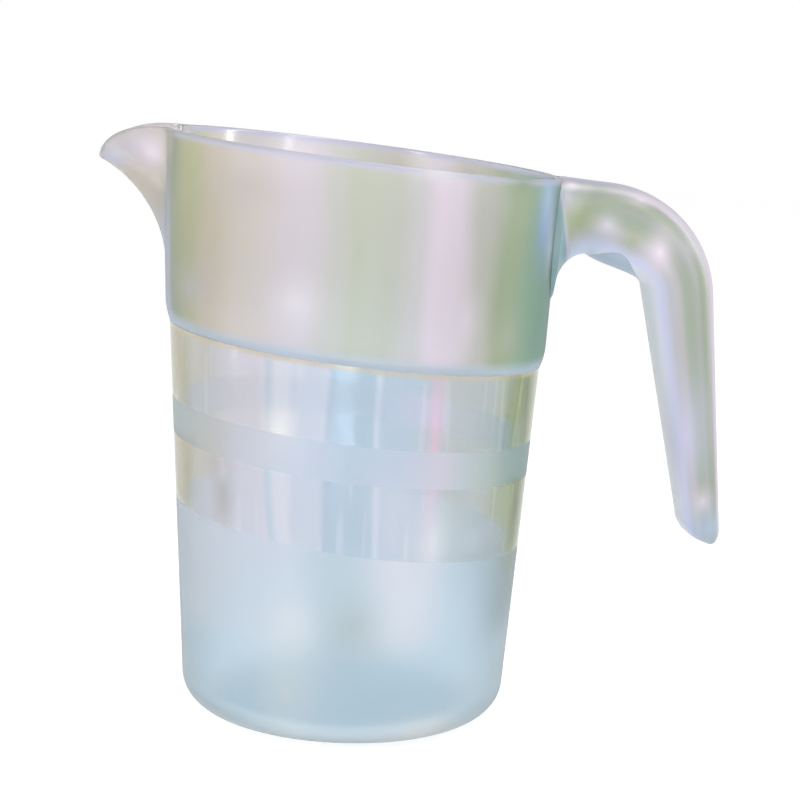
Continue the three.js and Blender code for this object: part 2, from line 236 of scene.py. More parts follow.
def round_place(material):
    """Place across the vessel from spout to handle, 0 to 1, wavering slightly up the wall, for
    the upright bands of colour that are painted reflections and refractions of the surroundings."""
    coords = add_node(material, "ShaderNodeTexCoord")
    level = add_node(
        material,
        "ShaderNodeMapping",
        {
            "Vector": coords.outputs["Object"],
            "Location": (-FLOW_SWAY / 2, -FLOW_SWAY / 2, 0),
            "Scale": (1, 1, 0),
        },
    )
    drawn = add_node(
        material,
        "ShaderNodeMapping",
        {
            "Vector": coords.outputs["Object"],
            "Scale": (1 / FLOW_WIDTH, 1 / FLOW_WIDTH, 1 / FLOW_LENGTH),
        },
    )
    flow = add_node(
        material, "ShaderNodeTexNoise", {"Vector": drawn.outputs[0], "Scale": 1.0, "Detail": 1.0}
    )
    swayed = add_node(
        material,
        "ShaderNodeVectorMath",
        {0: flow.outputs["Color"], 1: (FLOW_SWAY, FLOW_SWAY, 0), 2: level.outputs[0]},
        operation="MULTIPLY_ADD",
    )
    outward = add_node(
        material, "ShaderNodeVectorMath", {0: swayed.outputs[0]}, operation="NORMALIZE"
    )
    across = add_node(material, "ShaderNodeSeparateXYZ", {0: outward.outputs[0]})
    place = add_node(
        material,
        "ShaderNodeMapRange",
        {"Value": across.outputs["X"], "From Min": -1.0, "From Max": 1.0},
    )
    return place.outputs[0]


def blast(material, coords, roughness):
    """Roughness and bump of a surface moulded against a blasted tool."""
    grit = add_node(
        material,
        "ShaderNodeTexNoise",
        {"Vector": coords.outputs["Object"], "Scale": 1 / GRIT, "Detail": 2.0},
    )
    rough = add_node(
        material,
        "ShaderNodeMapRange",
        {
            "Value": grit.outputs[0],
            "To Min": roughness - GRIT_SPREAD,
            "To Max": roughness + GRIT_SPREAD,
        },
    )
    bump = add_node(
        material,
        "ShaderNodeBump",
        {"Height": grit.outputs[0], "Strength": GRIT_STRENGTH, "Distance": GRIT_DEPTH},
    )
    return {"Roughness": rough.outputs[0], "Normal": bump.outputs[0]}


def fade_along(material, coords, direction, start, end):
    """Share that grows from 0 to 1 between two distances along a direction."""
    distance = add_node(
        material,
        "ShaderNodeVectorMath",
        {0: coords.outputs["Object"], 1: direction},
        operation="DOT_PRODUCT",
    )
    share = add_node(
        material,
        "ShaderNodeMapRange",
        {"Value": distance.outputs["Value"], "From Min": start, "From Max": end},
        interpolation_type="SMOOTHSTEP",
    )
    return share.outputs[0]


def lay_over(material, colour, *zones):
    """Turns a colour to the tint of each zone in turn, where the zone's share is 1."""
    for share, tint in zones:
        mixed = add_node(
            material,
            "ShaderNodeMix",
            {"Factor": share, "A": colour, "B": linear(tint)},
            data_type="RGBA",
        )
        colour = mixed.outputs["Result"]
    return colour


def add_spots(material, coords, colour, spots):
    """Lays soft spots over a colour, each with its centre and reach in mm and its tint."""
    for centre, reach, tint in spots:
        around = add_node(
            material,
            "ShaderNodeMapping",
            {
                "Vector": coords.outputs["Object"],
                "Location": Vector(centre) * MM,
                "Scale": Vector(reach) * MM,
            },
            vector_type="TEXTURE",
        )
        share = add_node(
            material,
            "ShaderNodeTexGradient",
            {"Vector": around.outputs[0]},
            gradient_type="QUADRATIC_SPHERE",
        )
        colour = lay_over(material, colour, (share.outputs["Fac"], tint))
    return colour


def plastic(material, clarity, inputs):
    """Polycarbonate of a given clarity, from 0, milky, to 1, clear, with a colour and a surface."""
    fixed = {"IOR": PLASTIC_IOR, "Transmission Weight": clarity}
    shader = add_node(material, "ShaderNodeBsdfPrincipled", {**fixed, **inputs})
    add_node(material, "ShaderNodeOutputMaterial", {"Surface": shader.outputs[0]})


# Glossy polycarbonate inside the vessel, the collar and the handle: clear and nearly colourless,
# from a polished core, cooler along the rim's bead, with white spots that are painted highlights
# and reflections.
RIM_BEAD = 2.8 * MM
BASE_CLEAR_TOP = 40 * MM  # the inside is colourless near the base
BASE_CLEAR_FULL = 20 * MM
HANDLE_CLEAR_START = RIM_RADIUS + 2 * MM  # and in the handle
HANDLE_CLEAR_FULL = RIM_RADIUS + 6 * MM
GLOSS_ROUGHNESS = 0.16
SLANT_UP = (SLANT, 0, 1)  # upwards from a slanted plane
UP = (0, 0, 1)
OUT = (1, 0, 0)  # towards the handle
bead_foot = RIM_HEIGHT - RIM_BEAD
bead_full = RIM_HEIGHT - RIM_BEAD / 3
gloss = new_material("glossy_polycarbonate")
coords = add_node(gloss, "ShaderNodeTexCoord")
clouds = add_node(
    gloss,
    "ShaderNodeTexNoise",
    {"Vector": coords.outputs["Object"], "Scale": 1 / FLOW_WIDTH, "Detail": 1.0},
)
tint = add_node(
    gloss,
    "ShaderNodeValToRGB",
    {"Fac": clouds.outputs[0]},
    stops=((0.3, "#EDEEF1"), (0.7, "#F1EFF8")),
)
bead = fade_along(gloss, coords, SLANT_UP, bead_foot, bead_full)
base_inside = fade_along(gloss, coords, UP, BASE_CLEAR_TOP, BASE_CLEAR_FULL)
tints = lay_over(gloss, tint.outputs[0], (bead, "#DEDEF6"), (base_inside, "#FFFFFF"))
# painted highlights and reflections: white spots on the spout's cheeks, in the windows, at the near
# rim and on the far wall
GLOSS_PAINTED_HIGHLIGHTS = (
    ((-62, -13, 174), (12, 12, 13), "#FFFFFF"),
    ((-62, 13, 174), (12, 12, 13), "#FFFFFF"),
    ((-21.5, -50.5, 96), (9, 9, 16), "#FFFFFF"),
    ((25, -47, 66), (10, 12, 22), "#FFFFFF"),
    ((22, -55.5, 174), (16, 8, 5), "#FFFFFF"),
    ((23.5, -48.6, 98), (4.8, 10, 70), "#FFE8F4"),
    ((-25.3, 46, 78), (10, 10, 16), "#FFFFFF"),
)
tints = add_spots(gloss, coords, tints, GLOSS_PAINTED_HIGHLIGHTS)
handle_inside = fade_along(gloss, coords, OUT, HANDLE_CLEAR_START, HANDLE_CLEAR_FULL)
tints = lay_over(gloss, tints, (handle_inside, "#FCFCFF"))
plastic(gloss, 1.0, {"Base Color": tints, "Roughness": GLOSS_ROUGHNESS})

# Polished polycarbonate of the windows, moulded against a mirror-finished tool: clear and glossy,
# with crisp upright streaks and zones of colour that are painted reflections of the surroundings,
# and soft spots of painted highlight, reflection and shade.
STREAK_WIDTH = 3.2 * MM
STREAK_LENGTH = 120 * MM
STREAK_START = 0.55  # value of the noise at which a pale streak begins
STREAK_FULL = 0.68
STREAK_STRENGTH = 0.4
# painted reflection: the collar's warm edge is painted into the window under it
WARM_EDGE_START = SHOULDER - 2.2 * MM  # the collar's warm edge shows in the window under it
WARM_EDGE_FULL = SHOULDER - 0.6 * MM
POLISHED_ROUGHNESS = 0.05
polished = new_material("polished_polycarbonate")
coords = add_node(polished, "ShaderNodeTexCoord")
# the zones are painted reflections of the surroundings, banded round the vessel, with painted shade
# at the right edge
zones = add_node(
    polished,
    "ShaderNodeValToRGB",
    {"Fac": round_place(polished)},
    stops=(
        (0.01, "#CEC69A"),
        (0.035, "#CCC69E"),
        (0.055, "#B8BCA2"),
        (0.075, "#D2D0D2"),
        (0.2, "#DEDCE2"),
        (0.27, "#EAE7F0"),
        (0.28, "#C4DEEC"),
        (0.30, "#F4F4FC"),
        (0.33, "#F2F3FC"),
        (0.345, "#DCE6F2"),
        (0.425, "#E0EAF6"),
        (0.44, "#B8D2E2"),
        (0.57, "#BED8E6"),
        (0.585, "#E2EEF8"),
        (0.60, "#C4DAE8"),
        (0.69, "#C4D8E6"),
        (0.745, "#CAD2CE"),
        (0.905, "#BEC8C8"),
        (0.922, "#BAC6BA"),
        (0.936, "#B4C290"),
        (0.955, "#8CA050"),
        (1.0, "#88A044"),
    ),
)
# pale upright streaks: painted reflections
drawn = add_node(
    polished,
    "ShaderNodeMapping",
    {
        "Vector": coords.outputs["Object"],
        "Scale": (1 / STREAK_WIDTH, 1 / STREAK_WIDTH, 1 / STREAK_LENGTH),
    },
)
reflection_streaks = add_node(
    polished, "ShaderNodeTexNoise", {"Vector": drawn.outputs[0], "Scale": 1.0, "Detail": 1.0}
)
bright = add_node(
    polished,
    "ShaderNodeMapRange",
    {
        "Value": reflection_streaks.outputs[0],
        "From Min": STREAK_START,
        "From Max": STREAK_FULL,
        "To Max": STREAK_STRENGTH,
    },
    interpolation_type="SMOOTHSTEP",
)
streaks = lay_over(polished, zones.outputs[0], (bright.outputs[0], "#F2F5FA"))
# painted light in the windows: pale, pink and white spots of painted highlight and reflection, a
# brown painted reflection with a paler middle, and dark green painted shade along the right edge
WINDOW_PAINTED_LIGHT = (
    ((24.0, -51, 98), (4.8, 12, 90), "#FFD2EC"),
    ((25.0, -49.5, 64), (10, 12, 22), "#FFFCFF"),
    ((38, -40, 64), (16, 16, 14), "#DEE8EA"),
    ((-38.2, -40.9, 77), (9, 9, 22), "#988E74"),
    ((-38.2, -40.9, 84), (6.5, 6.5, 17), "#DCDADE"),
    ((-21.8, -53.2, 97), (9, 9, 16), "#FFFFFF"),
    ((-25.3, 48.5, 78), (10, 10, 16), "#FFFFFF"),
    ((52.8, -22.5, 104), (3.2, 14, 60), "#0A5A0A"),
    ((51.4, -20, 70), (3.2, 14, 30), "#1C5A10"),
)
streaks = add_spots(polished, coords, streaks, WINDOW_PAINTED_LIGHT)
# painted reflection of the collar's warm lower edge in the window under it
under_collar = fade_along(polished, coords, SLANT_UP, WARM_EDGE_START, WARM_EDGE_FULL)
streaks = lay_over(polished, streaks, (under_collar, "#E2D2B0"))
plastic(polished, 1.0, {"Base Color": streaks, "Roughness": POLISHED_ROUGHNESS})

# Fine-blasted polycarbonate: the vessel's lower body and ring, cool, slightly milky and softly
# banded with painted reflections, bluer towards the base, with hazy spots of painted highlight and
# shade, and a painted highlight along the base's edge.
COOL_BASE_TOP = 40 * MM
COOL_BASE_FULL = 24 * MM
# painted highlight along the base's rounded edge
BASE_HIGHLIGHT_TOP = 4 * MM
BASE_HIGHLIGHT_FULL = 1 * MM
# the ring's bands are painted reflections; they begin in the window below it
RING_TINT_START = RING_FOOT - 12 * MM  # the ring's own bands begin in the window below it
RING_TINT_FULL = RING_FOOT - 4 * MM
FINE_CLARITY = 0.96
FINE_ROUGHNESS = 0.36
fine_blasted = new_material("fine_blasted_polycarbonate")
coords = add_node(fine_blasted, "ShaderNodeTexCoord")
# the bands are painted reflections of the surroundings
bands = add_node(
    fine_blasted,
    "ShaderNodeValToRGB",
    {"Fac": round_place(fine_blasted)},
    stops=(
        (0.02, "#E0F2FF"),
        (0.08, "#ECF6FF"),
        (0.2, "#E4EEF6"),
        (0.32, "#E8F0FC"),
        (0.48, "#CADEE8"),
        (0.68, "#FCF8FF"),
        (0.82, "#D8EEFA"),
        (0.96, "#AECAD0"),
    ),
)
bands.color_ramp.interpolation = "EASE"
cool_base = fade_along(fine_blasted, coords, UP, COOL_BASE_TOP, COOL_BASE_FULL)
painted_base_highlight = fade_along(fine_blasted, coords, UP, BASE_HIGHLIGHT_TOP, BASE_HIGHLIGHT_FULL)
tints = lay_over(
    fine_blasted, bands.outputs[0], (cool_base, "#CEE9F8"), (painted_base_highlight, "#EEF8FF")
)
# painted light on the lower body: pale spots of painted highlight, and olive and green spots of
# painted shade
BODY_PAINTED_LIGHT = (
    ((2, -53.4, 40), (22, 22, 24), "#B8C4BE"),
    ((-16, -51, 40), (14, 14, 16), "#FCFEFF"),
    ((-16.5, -50, 18), (20, 20, 28), "#FCFFFF"),
    ((20, -51.4, 46.1), (17, 17, 22), "#FFFAFF"),
    ((-20, 40, 4), (18, 24, 18), "#FFFFFF"),
    ((26, -43, 4), (27, 24, 13), "#FCFFFF"),
    ((51, -18.7, 54), (10, 14, 14), "#AEC2A2"),
)
tints = add_spots(fine_blasted, coords, tints, BODY_PAINTED_LIGHT)
# the ring's bands are painted reflections, with painted shade towards its right edge
ring_bands = add_node(
    fine_blasted,
    "ShaderNodeValToRGB",
    {"Fac": round_place(fine_blasted)},
    stops=(
        (0.01, "#D2E8EA"),
        (0.05, "#D4E0E0"),
        (0.15, "#D5D6D8"),
        (0.23, "#DDE2F0"),
        (0.37, "#DEEAFA"),
        (0.50, "#BFD4E4"),
        (0.64, "#D5E3F6"),
        (0.72, "#F1E8FC"),
        (0.80, "#D7E4F0"),
        (0.89, "#C8DDE0"),
        (0.96, "#94C0BC"),
    ),
)
on_ring = fade_along(fine_blasted, coords, SLANT_UP, RING_TINT_START, RING_TINT_FULL)
tints = add_node(
    fine_blasted,
    "ShaderNodeMix",
    {"Factor": on_ring, "A": tints, "B": ring_bands.outputs[0]},
    data_type="RGBA",
).outputs["Result"]
fine_surface = blast(fine_blasted, coords, FINE_ROUGHNESS)
plastic(fine_blasted, FINE_CLARITY, {"Base Color": tints, **fine_surface})
UNDERSIDE_NORMAL = -0.5  # faces whose normals point further down belong to the base


def finish_faces(piece, materials, choose):
    """Gives a piece its finishes, and each face the finish that choose names for it."""
    for material in materials:
        piece.data.materials.append(material)
    for face in piece.data.polygons:
        face.material_index = choose(face)


def vessel_finish(face):
    """Inside glossy, 0; windows polished, 1; ring, lower body and base blasted, 2."""
    place = face.center
    outward = face.normal.x * place.x + face.normal.y * place.y > 0
    outward = outward or face.normal.z < UNDERSIDE_NORMAL
    height = place.z + SLANT * place.x
    if not outward or height > SHOULDER:
        return 0
    clear = place.z + WINDOW_SLANT * place.x > WINDOW_FOOT and not RING_FOOT < height < RING_TOP
    return 1 if clear else 2


finish_faces(vessel, [gloss, polished, fine_blasted], vessel_finish)
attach(vessel, "root")
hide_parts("vessel")

# Collar
# The wider sleeve that carries the rim and the spout, moulded in the same polycarbonate, blasted
# outside and polished inside. Its lower edge curls in and is bonded on the vessel's shoulder.
SKIRT_GAP = 0.01 * MM  # bond line over the shoulder
SKIRT_HEIGHT = 6.5 * MM
SKIRT_PROUD = 0.15 * MM  # what is left of the step at the curled edge
SPOUT_REACH = 19.45 * MM
SPOUT_HALF_WIDTH = 17 * MM
SPOUT_ROOT_BLEND = 1.6 * MM  # softens the crease between cheek and collar
SPOUT_ARC = 33 * MM  # radius of the underside, seen from the side
LIP_DROP = 14.5 * MM  # vertical half axis of the ellipse that the lip falls along
LIP_MARGIN = 0.4 * MM
LIP_TRIM = 0.12 * MM  # that the round lip stays under the rim plane
RIM_ROUND = 0.95 * MM
RIM_SEGMENTS = 5
EDGE_ROUND = 0.1 * MM
EDGE_SEGMENTS = 2
SHARP_ANGLE = radians(40)  # edges with a sharper turn are rounded
COLLAR_COLUMNS = 448
COLLAR_ROWS = 56
TUBE_HALF = 0.5  # half height of the plain tubes that collar and handle are shaped from
skirt_foot = SHOULDER + SKIRT_GAP


def spout_reach(angle):
    """How far the lip stands out from the rim in a direction round the axis."""
    if cos(angle) >= 0:
        return 0
    side = RIM_RADIUS * sin(angle) / SPOUT_HALF_WIDTH
    reach = SPOUT_REACH * (1 - side * side)
    soft = (reach + hypot(reach, SPOUT_ROOT_BLEND)) / 2
    far = (hypot(SPOUT_REACH, SPOUT_ROOT_BLEND) - SPOUT_REACH) / 2
    return min(max(0, soft - far), SPOUT_REACH)


def collar_point(angle, share):
    """Point on the collar's outside; share runs from its lower edge, 0, to the rim's top, 1."""
    reach = spout_reach(angle)
    fall = LIP_DROP * (1 - sqrt(1 - (reach / (SPOUT_REACH + LIP_MARGIN)) ** 2))
    lip = RIM_HEIGHT - LIP_TRIM - COLLAR_WALL / 2 - fall
    top = lip + COLLAR_WALL / 2 * (1 - reach / SPOUT_ARC)
    height = skirt_foot + (top - skirt_foot) * share
    climb = max(0, height - lip + sqrt(reach * (2 * SPOUT_ARC - reach)))
    flare = SPOUT_ARC - sqrt(SPOUT_ARC**2 - climb**2)
    turn = collar_slope * SLANT * cos(angle)
    radius = (collar_radius + collar_slope * height) / (1 + turn) + flare
    return Vector((radius * cos(angle), radius * sin(angle), height - SLANT * radius * cos(angle)))


bpy.ops.object.select_all(action="DESELECT")
bpy.ops.mesh.primitive_cylinder_add(
    vertices=COLLAR_COLUMNS,
    radius=RIM_RADIUS,
    depth=2 * TUBE_HALF,
    end_fill_type="NOTHING",
    location=(0, 0, TUBE_HALF),
)
collar = bpy.context.object
collar.name = "collar_sleeve"
bpy.ops.object.transform_apply(location=True)
pick_edges(collar, lambda a, b: abs(a.z - b.z) > TUBE_HALF)
bpy.ops.mesh.subdivide(number_cuts=COLLAR_ROWS - 1)
done()
for vertex in collar.data.vertices:
    vertex.co = collar_point(atan2(vertex.co.y, vertex.co.x), vertex.co.z)


def thicken(piece, wall):
    """Gives a skin its wall, inwards."""
    modifier = piece.modifiers.new("wall", "SOLIDIFY")
    modifier.thickness = wall
    modifier.offset = -1
    modifier.use_even_offset = True
    modifier.use_quality_normals = True
    bpy.context.view_layer.objects.active = piece
    bpy.ops.object.modifier_apply(modifier=modifier.name)


thicken(collar, COLLAR_WALL)
skirt_step = collar_radius - BASE_RADIUS + (collar_slope - vessel_slope) * SHOULDER
for vertex in collar.data.vertices:
    place = vertex.co
    radius = hypot(place.x, place.y)
    rise = (place.z + SLANT * place.x - skirt_foot) / SKIRT_HEIGHT
    if rise < 1 and radius > collar_radius + collar_slope * place.z - COLLAR_WALL / 2:
        inset = (skirt_step - SKIRT_PROUD) * (1 - rise) ** 2
        place.x *= 1 - inset / radius
        place.y *= 1 - inset / radius


def round_sharp(piece, width, segments, test):
    """Rounds the sharp edges of a piece whose two ends pass the test."""
    edit(piece, "EDGE")
    bpy.ops.mesh.select_all(action="DESELECT")
    bpy.ops.mesh.edges_select_sharp(sharpness=SHARP_ANGLE)
    done()
    points = piece.data.vertices
    for edge in piece.data.edges:
        if edge.select and not test(*(points[i].co for i in edge.vertices)):
            edge.select = False
    bpy.ops.object.mode_set(mode="EDIT")
    bpy.ops.mesh.bevel(offset=width, segments=segments, clamp_overlap=True)
    done()


collar_middle = (SHOULDER + RIM_HEIGHT) / 2
round_sharp(collar, RIM_ROUND, RIM_SEGMENTS, lambda a, b: min(a.z, b.z) > collar_middle)
round_sharp(collar, EDGE_ROUND, EDGE_SEGMENTS, lambda a, b: max(a.z, b.z) < collar_middle)
bpy.ops.object.shade_smooth_by_angle(angle=SMOOTH_ANGLE)

# Blasted polycarbonate: the collar's outside, satin and warmer, with soft upright bands of colour
# that are painted reflections, and painted spots of highlight, reflection and shade. Its rim and
# curled lower edge are cooler, and its spout is warmer.
COOL_EDGE_TOP = SHOULDER + 0.8 * SKIRT_HEIGHT
COOL_EDGE_FULL = SHOULDER + 0.1 * SKIRT_HEIGHT
SPOUT_WAY = (-1, 0, 0.15)  # from the axis towards the spout, and a little up
SPOUT_TINT_START = 82.5 * MM  # along that way
SPOUT_TINT_FULL = 86 * MM
COLLAR_CLARITY = 0.76
COLLAR_ROUGHNESS = 0.46
blasted = new_material("blasted_polycarbonate")
coords = add_node(blasted, "ShaderNodeTexCoord")
# the bands are painted reflections of the surroundings
bands = add_node(
    blasted,
    "ShaderNodeValToRGB",
    {"Fac": round_place(blasted)},
    stops=(
        (0.0, "#C2CAE0"),
        (0.024, "#C8CEE0"),
        (0.04, "#A8B694"),
        (0.075, "#C4C696"),
        (0.13, "#D9CDB6"),
        (0.23, "#E4DBD2"),
        (0.34, "#E6DDE6"),
        (0.43, "#D4D6CA"),
        (0.48, "#C8D0B8"),
        (0.57, "#C8CFBC"),
        (0.64, "#DAD9D8"),
        (0.70, "#F6E6F6"),
        (0.73, "#F2E3F2"),
        (0.80, "#CAC8BE"),
        (0.87, "#9CAE80"),
        (0.935, "#8CB696"),
        (0.97, "#74A892"),
        (1.0, "#78A898"),
    ),
)
bands.color_ramp.interpolation = "EASE"
low_edge = fade_along(blasted, coords, SLANT_UP, COOL_EDGE_TOP, COOL_EDGE_FULL)
bead = fade_along(blasted, coords, SLANT_UP, bead_foot, bead_full)
on_spout = fade_along(blasted, coords, SPOUT_WAY, SPOUT_TINT_START, SPOUT_TINT_FULL)
tints = lay_over(
    blasted,
    bands.outputs[0],
    (low_edge, "#CCE0F4"),
    (bead, "#D8D8EA"),
    (on_spout, "#D0C8BC"),
)
# painted light on the collar: painted shade in the creases beside the spout, painted highlights on
# the spout's cheeks, on the front and at the near rim, painted reflections on the spout, painted
# blue reflections beside the handle's root, and painted shade and reflections on the far wall
COLLAR_PAINTED_LIGHT = (
    ((-59, -19, 172), (4.5, 6, 16), "#A6B496"),
    ((-59, 19, 172), (4.5, 6, 16), "#A6B496"),
    ((-60.5, -14, 156), (4.5, 6, 16), "#A6B496"),
    ((-60.5, 14, 156), (4.5, 6, 16), "#A6B496"),
    ((-69, -10, 176), (16, 14, 10), "#DAD6E6"),
    ((-69, 10, 176), (16, 14, 10), "#DAD6E6"),
    ((-64.5, -14.1, 174), (11, 11, 11), "#FFF0FF"),
    ((-64.5, 14.1, 174), (11, 11, 11), "#FFF0FF"),
    ((-78, -5, 171.5), (9, 9, 9), "#C2CCE6"),
    ((-78, 5, 171.5), (9, 9, 9), "#C2CCE6"),
    ((-63, 0, 155), (5, 9, 14), "#C6CADC"),
    ((-17.6, -57.7, 136), (14, 14, 14), "#FFF8FF"),
    ((31, -51.5, 132), (11, 11, 16), "#F6E6F6"),
    ((45, -40, 126), (14, 14, 16), "#B0BC9E"),
    ((46, -40, 171), (18, 18, 8), "#7C9670"),
    ((22, -57.9, 174.4), (17, 9, 4.4), "#FFFAFF"),
    ((-33, -51, 168), (26, 26, 13), "#D6CCC6"),
    ((-50, -34, 136), (18, 18, 14), "#D2CFCC"),
    ((55.5, -26, 160), (9, 16, 26), "#90B6FA"),
    ((55.6, -26.4, 166), (7, 10, 18), "#C8E2FF"),
    ((57.0, -21.5, 160), (7, 11, 20), "#CCE4FF"),
    ((57.6, -20, 151.5), (5, 8, 15), "#F0F6FF"),
    ((-38, 48, 176), (24, 24, 16), "#C8C2C8"),
    ((-20, 58, 172), (14, 14, 12), "#FFECF2"),
    ((12, 61, 170), (28, 14, 16), "#B6AA98"),
    ((36, 50, 168), (24, 16, 12), "#B2AE92"),
)
tints = add_spots(blasted, coords, tints, COLLAR_PAINTED_LIGHT)
collar_surface = blast(blasted, coords, COLLAR_ROUGHNESS)
plastic(blasted, COLLAR_CLARITY, {"Base Color": tints, **collar_surface})
OUTSIDE_FACING = 0.3  # how far the normal of an outside face points away from the axis
RIM_FACING = -0.25  # the same on the rim's top
RIM_NORMAL = 0.5  # how far the rim's top points up


def collar_finish(face):
    """Inside glossy, 0; outside and rim blasted, 1."""
    place = face.center
    facing = (face.normal.x * place.x + face.normal.y * place.y) / hypot(place.x, place.y)
    on_rim = face.normal.z > RIM_NORMAL and facing > RIM_FACING
    return 1 if facing > OUTSIDE_FACING or on_rim else 0


finish_faces(collar, [gloss, blasted], collar_finish)
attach(collar, "root")
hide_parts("collar")

# Handle shell
# The hollow back and sides of the handle with its rounded foot, moulded in polycarbonate and
# blasted outside. Its flared root is bonded to the collar's wall, just under the rim.
HANDLE_REACH = 118.52 * MM  # of the grip's back at the foot, from the axis
HANDLE_FOOT = 57 * MM
HANDLE_TOP_RISE = 0.2 * MM  # of the arm above the rim plane
BACK_RADIUS = 36.5 * MM  # of the bend, outside
BACK_LEAN = radians(5.6)
GRIP_LEAN = radians(12.4)
GRIP_THICKNESS = 13.4 * MM  # front to back at the foot
ARCH_REACH = 10 * MM  # concave sweep from the collar to the arm's underside
ARCH_DROP = 14.5 * MM
ARM_THICKNESS = 23 * MM
BELLY_LEAVE = Vector((6.6 * MM, 0, -4.3 * MM))  # the underside leaves the arch's crown this way
BELLY_DROP = 9 * MM  # from the crown down to the grip's top
BELLY_CORNER = 4 * MM  # reach of the soft corner above the grip
ARM_HALF_WIDTH = 11.5 * MM
FOOT_HALF_WIDTH = 8.5 * MM
ROOT_FLARE = 3.5 * MM  # that each side widens by at the collar
ROOT_FLARE_RUN = 5 * MM
FOOT_LEAN = 3.4 * MM  # of the foot's tip, towards the back
FOOT_SKEW = 5 * MM  # that the grip's back goes down further than its front
FOOT_LENGTH = 7 * MM
FOOT_TIP = 0.02  # share of the foot's section that is left where its skin closes
SECTION_POWER = 2.6  # of the section's superellipse
HANDLE_WALL = 2.4 * MM
ROOT_GAP = 0.012 * MM  # between the root and the collar's wall
HANDLE_COLUMNS = 80
ROOT_ROWS = 22
BEND_ROWS = 40
GRIP_ROWS = 44
FOOT_ROWS = 14
ROOT_CROWDING = 1.5  # power that draws the rows together towards the collar
HANDLE_SMOOTH_ANGLE = radians(35)


def arm_top(x):
    return Vector((x, 0, RIM_HEIGHT + HANDLE_TOP_RISE - SLANT * x))


foot_top = HANDLE_FOOT + FOOT_LENGTH
back_up = Vector((-tan(BACK_LEAN), 0, 1))
grip_up = Vector((-tan(GRIP_LEAN), 0, 1))
arm_along = Vector((1, 0, -SLANT)).normalized()
arm_inward = Vector((-SLANT, 0, -1)).normalized()
back_foot = Vector((HANDLE_REACH, 0, foot_top))
corner_rise = (arm_top(HANDLE_REACH).z - foot_top) / (1 + SLANT * back_up.x)
bend_turn = pi / 2 - BACK_LEAN - atan(SLANT)
bend_start = back_foot + back_up * corner_rise - arm_along * BACK_RADIUS * tan(bend_turn / 2)
bend_centre = bend_start + arm_inward * BACK_RADIUS
arch_foot = RIM_HEIGHT - ARM_THICKNESS - ARCH_DROP - SLANT * RIM_RADIUS
arch_wall = collar_radius + collar_slope * arch_foot
crown = arm_top(arch_wall + ARCH_REACH) - Vector((0, 0, ARM_THICKNESS))
inner_foot = Vector((HANDLE_REACH - GRIP_THICKNESS, 0, foot_top))
grip_top = inner_foot + grip_up * (crown.z - BELLY_DROP - foot_top)
inner_foot += grip_up * FOOT_SKEW / 2
back_foot -= back_up * FOOT_SKEW / 2
arm_root = arm_top(RIM_RADIUS)


def bend_back(share):
    turn = bend_turn * share
    return bend_centre - (arm_inward * cos(turn) - arm_along * sin(turn)) * BACK_RADIUS


def arch(share):
    turn = pi / 2 * share
    return crown + Vector((-ARCH_REACH * cos(turn), 0, ARCH_DROP * (sin(turn) - 1)))


def belly(share):
    rest = 1 - share
    leave = crown + BELLY_LEAVE
    arrive = grip_top + grip_up * BELLY_CORNER
    return (
        crown * rest**3
        + leave * (3 * rest**2 * share)
        + arrive * (3 * rest * share**2)
        + grip_top * share**3
    )


def handle_sections():
    """Rows of the handle from root to foot: inner point, back point and half width."""
    rows = []
    for i in range(ROOT_ROWS):
        share = (i / ROOT_ROWS) ** ROOT_CROWDING
        inner = arch(share)
        near = max(0, 1 - (inner.x - arch_wall) / ROOT_FLARE_RUN)
        flare = ROOT_FLARE * (1 - sqrt(1 - near * near))
        rows.append((inner, arm_root.lerp(bend_start, share), ARM_HALF_WIDTH + flare))
    for i in range(BEND_ROWS):
        share = i / BEND_ROWS
        rows.append((belly(share), bend_back(share), ARM_HALF_WIDTH))
    for i in range(GRIP_ROWS):
        share = i / (GRIP_ROWS - 1)
        half_width = ARM_HALF_WIDTH + (FOOT_HALF_WIDTH - ARM_HALF_WIDTH) * share
        inner = grip_top.lerp(inner_foot, share)
        rows.append((inner, bend_back(1).lerp(back_foot, share), half_width))
    middle = (inner_foot + back_foot) / 2
    for i in range(1, FOOT_ROWS + 1):
        turn = pi / 2 * i / FOOT_ROWS
        size = max(cos(turn), FOOT_TIP)
        end = middle + Vector((FOOT_LEAN * (1 - size), 0, -FOOT_LENGTH * sin(turn)))
        half = (back_foot - inner_foot) / 2 * size
        rows.append((end - half, end + half, FOOT_HALF_WIDTH * size))
    return rows


def swollen(value):
    return (1 if value > 0 else -1) * abs(value) ** (2 / SECTION_POWER)


sections = handle_sections()
bpy.ops.object.select_all(action="DESELECT")
bpy.ops.mesh.primitive_cylinder_add(
    vertices=HANDLE_COLUMNS,
    radius=1,
    depth=2 * TUBE_HALF,
    end_fill_type="NOTHING",
    location=(0, 0, TUBE_HALF),
)
shell = bpy.context.object
shell.name = "handle_back"
bpy.ops.object.transform_apply(location=True)
pick_edges(shell, lambda a, b: abs(a.z - b.z) > TUBE_HALF)
bpy.ops.mesh.subdivide(number_cuts=len(sections) - 2)
done()
COVER_TURN = radians(22.5)  # half of the section's turn that the cover takes along the grip
LENS_TURN = radians(60)  # the same at the widest place of the lens under the bend
COVER_START = ROOT_ROWS + 1  # row of the handle at which the cover begins
LENS_SHARE = 0.85  # of the bend's rows
LENS_END = ROOT_ROWS + LENS_SHARE * BEND_ROWS
LENS_SKEW = 0.66  # moves its widest place towards the collar
BARE_ROWS = 5  # of the grip, below the cover
COVER_END = ROOT_ROWS + BEND_ROWS + GRIP_ROWS - BARE_ROWS
last_row = len(sections) - 1
half_column = pi / HANDLE_COLUMNS
cover_faces = []
for face in shell.data.polygons:
    row = face.center.z * last_row
    turn = abs(atan2(face.center.y, -face.center.x))
    cover_faces.append(COVER_START < row < COVER_END and turn < COVER_TURN + half_column / 2)


